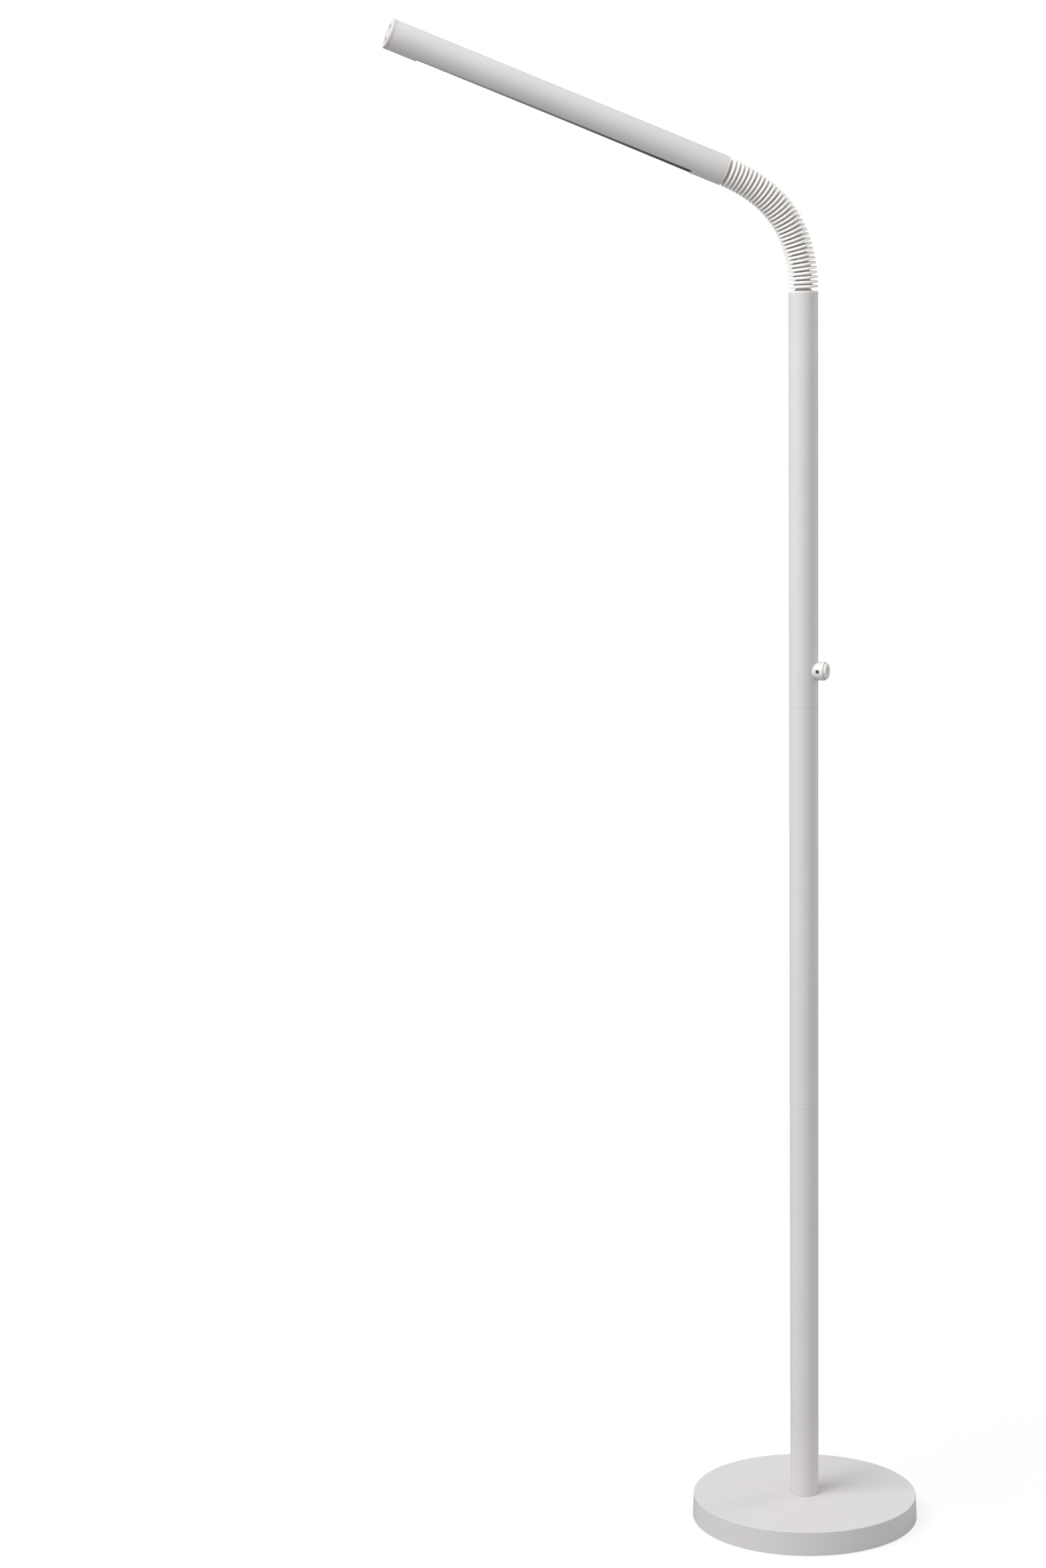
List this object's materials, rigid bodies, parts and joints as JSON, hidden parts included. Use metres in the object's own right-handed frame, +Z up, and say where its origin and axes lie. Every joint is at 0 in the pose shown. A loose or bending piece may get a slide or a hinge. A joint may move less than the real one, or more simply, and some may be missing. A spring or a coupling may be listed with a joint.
{
  "type": "adjustable arm floor lamp",
  "caption": "Standing reading lamp: weighted round base, straight pole in screwed sections, push switch, ribbed flexible neck and tubular LED bar head.",
  "frame": {"origin": "centre of the base's underside, on the pole's axis, on the plane that the lamp stands on", "axes": "+Z up along the pole; the neck bends in the XZ plane and the head points to -X; the cord inlet faces +Y"},
  "size_m": [0.5015, 0.2213, 1.4377],
  "materials": {
    "paint": "satin powder coat, warm off-white",
    "plastic": "smooth matte white moulding",
    "cast_weight": "rough casting",
    "plated_steel": "zinc plated",
    "screw_steel": "bright steel",
    "foam_pad": "dull foam rubber",
    "grommet_rubber": "soft off-white rubber",
    "switch_plastic": "moulded",
    "carrier_aluminium": "mill finish extrusion",
    "board": "white solder mask",
    "chips": "phosphor gel",
    "diffuser": "frosted opal",
    "wire_sleeve": "PVC sleeve"
  },
  "bodies": {
    "stand": {"base_cover": "paint", "base_weight": "cast_weight", "base_plate": "plated_steel", "base_plate_screws": "plated_steel", "base_pad": "foam_pad", "base_washer": "plated_steel", "base_nut": "plated_steel", "cord_grommet": "grommet_rubber", "pole_foot_plug": "plated_steel", "lower_pole": "paint", "middle_pole": "paint", "upper_pole": "paint", "pole_joint_sockets": "plated_steel", "pole_joint_studs": "plated_steel", "lower_wires": "wire_sleeve", "upper_wires": "wire_sleeve", "switch_body": "switch_plastic", "switch_housing": "plastic", "switch_grub_screw": "screw_steel", "neck_base_plug": "plastic", "neck_grub_screw": "screw_steel"},
    "button": {"switch_button": "plastic", "switch_plunger": "switch_plastic"},
    "neck_link_01": {"neck_link_01": "plastic"},
    "neck_link_02": {"neck_link_02": "plastic"},
    "neck_link_03": {"neck_link_03": "plastic"},
    "neck_link_04": {"neck_link_04": "plastic"},
    "neck_link_05": {"neck_link_05": "plastic"},
    "neck_link_06": {"neck_link_06": "plastic"},
    "neck_link_07": {"neck_link_07": "plastic"},
    "neck_link_08": {"neck_link_08": "plastic"},
    "neck_link_09": {"neck_link_09": "plastic"},
    "neck_link_10": {"neck_link_10": "plastic"},
    "neck_link_11": {"neck_link_11": "plastic"},
    "neck_link_12": {"neck_link_12": "plastic"},
    "neck_link_13": {"neck_link_13": "plastic"},
    "neck_link_14": {"neck_link_14": "plastic"},
    "neck_link_15": {"neck_link_15": "plastic"},
    "neck_link_16": {"neck_link_16": "plastic"},
    "neck_link_17": {"neck_link_17": "plastic"},
    "head": {"neck_head_plug": "plastic", "head_tube": "paint", "head_grub_screw": "screw_steel", "carrier_bar": "carrier_aluminium", "led_board": "board", "led_chips": "chips", "diffuser": "diffuser", "head_end_cap": "plastic", "end_cap_screws": "screw_steel", "head_wires": "wire_sleeve"}
  },
  "joints": [
    {"name": "neck_bend_01", "type": "hinge", "parent": "stand", "child": "neck_link_01", "pos_m": [-0.00001, 0, 1.19225], "axis": [0, -1, 0], "range_deg": [-8.5, 4.6]},
    {"name": "neck_sway_02", "type": "hinge", "parent": "neck_link_01", "child": "neck_link_02", "pos_m": [-0.00032, 0, 1.20044], "axis": [0.998, 0, 0.0629], "range_deg": [-6.6, 6.6]},
    {"name": "neck_bend_03", "type": "hinge", "parent": "neck_link_02", "child": "neck_link_03", "pos_m": [-0.00105, 0, 1.20861], "axis": [0, -1, 0], "range_deg": [-8.5, 4.6]},
    {"name": "neck_bend_04", "type": "hinge", "parent": "neck_link_03", "child": "neck_link_04", "pos_m": [-0.00223, 0, 1.21672], "axis": [0, -1, 0], "range_deg": [-8.5, 4.6]},
    {"name": "neck_sway_05", "type": "hinge", "parent": "neck_link_04", "child": "neck_link_05", "pos_m": [-0.00391, 0, 1.22475], "axis": [0.9717, 0, 0.2361], "range_deg": [-6.6, 6.6]},
    {"name": "neck_bend_06", "type": "hinge", "parent": "neck_link_05", "child": "neck_link_06", "pos_m": [-0.00612, 0, 1.23264], "axis": [0, -1, 0], "range_deg": [-8.5, 4.6]},
    {"name": "neck_bend_07", "type": "hinge", "parent": "neck_link_06", "child": "neck_link_07", "pos_m": [-0.00891, 0, 1.24035], "axis": [0, -1, 0], "range_deg": [-8.5, 4.6]},
    {"name": "neck_sway_08", "type": "hinge", "parent": "neck_link_07", "child": "neck_link_08", "pos_m": [-0.0123, 0, 1.24782], "axis": [0.8927, 0, 0.4507], "range_deg": [-6.6, 6.6]},
    {"name": "neck_bend_09", "type": "hinge", "parent": "neck_link_08", "child": "neck_link_09", "pos_m": [-0.0163, 0, 1.25497], "axis": [0, -1, 0], "range_deg": [-8.5, 4.6]},
    {"name": "neck_bend_10", "type": "hinge", "parent": "neck_link_09", "child": "neck_link_10", "pos_m": [-0.0209, 0, 1.26175], "axis": [0, -1, 0], "range_deg": [-8.5, 4.6]},
    {"name": "neck_sway_11", "type": "hinge", "parent": "neck_link_10", "child": "neck_link_11", "pos_m": [-0.02607, 0, 1.26812], "axis": [0.7488, 0, 0.6627], "range_deg": [-6.6, 6.6]},
    {"name": "neck_bend_12", "type": "hinge", "parent": "neck_link_11", "child": "neck_link_12", "pos_m": [-0.03175, 0, 1.27403], "axis": [0, -1, 0], "range_deg": [-8.5, 4.6]},
    {"name": "neck_bend_13", "type": "hinge", "parent": "neck_link_12", "child": "neck_link_13", "pos_m": [-0.03788, 0, 1.27947], "axis": [0, -1, 0], "range_deg": [-8.5, 4.6]},
    {"name": "neck_sway_14", "type": "hinge", "parent": "neck_link_13", "child": "neck_link_14", "pos_m": [-0.0444, 0, 1.28444], "axis": [0.5786, 0, 0.8156], "range_deg": [-6.6, 6.6]},
    {"name": "neck_bend_15", "type": "hinge", "parent": "neck_link_14", "child": "neck_link_15", "pos_m": [-0.05124, 0, 1.28896], "axis": [0, -1, 0], "range_deg": [-8.5, 4.6]},
    {"name": "neck_bend_16", "type": "hinge", "parent": "neck_link_15", "child": "neck_link_16", "pos_m": [-0.05834, 0, 1.29306], "axis": [0, -1, 0], "range_deg": [-8.5, 4.6]},
    {"name": "neck_sway_17", "type": "hinge", "parent": "neck_link_16", "child": "neck_link_17", "pos_m": [-0.06566, 0, 1.29676], "axis": [0.4274, 0, 0.904], "range_deg": [-6.6, 6.6]},
    {"name": "neck_bend_18", "type": "hinge", "parent": "neck_link_17", "child": "head", "pos_m": [-0.07315, 0, 1.30008], "axis": [0, -1, 0], "range_deg": [-8.5, 4.6]},
    {"name": "button_press", "type": "slide", "parent": "stand", "child": "button", "axis": [-0.829, 0.5592, 0], "range_m": [0, 0.0022], "stiffness_N_per_m": 450, "springref_m": -0.0012}
  ]
}
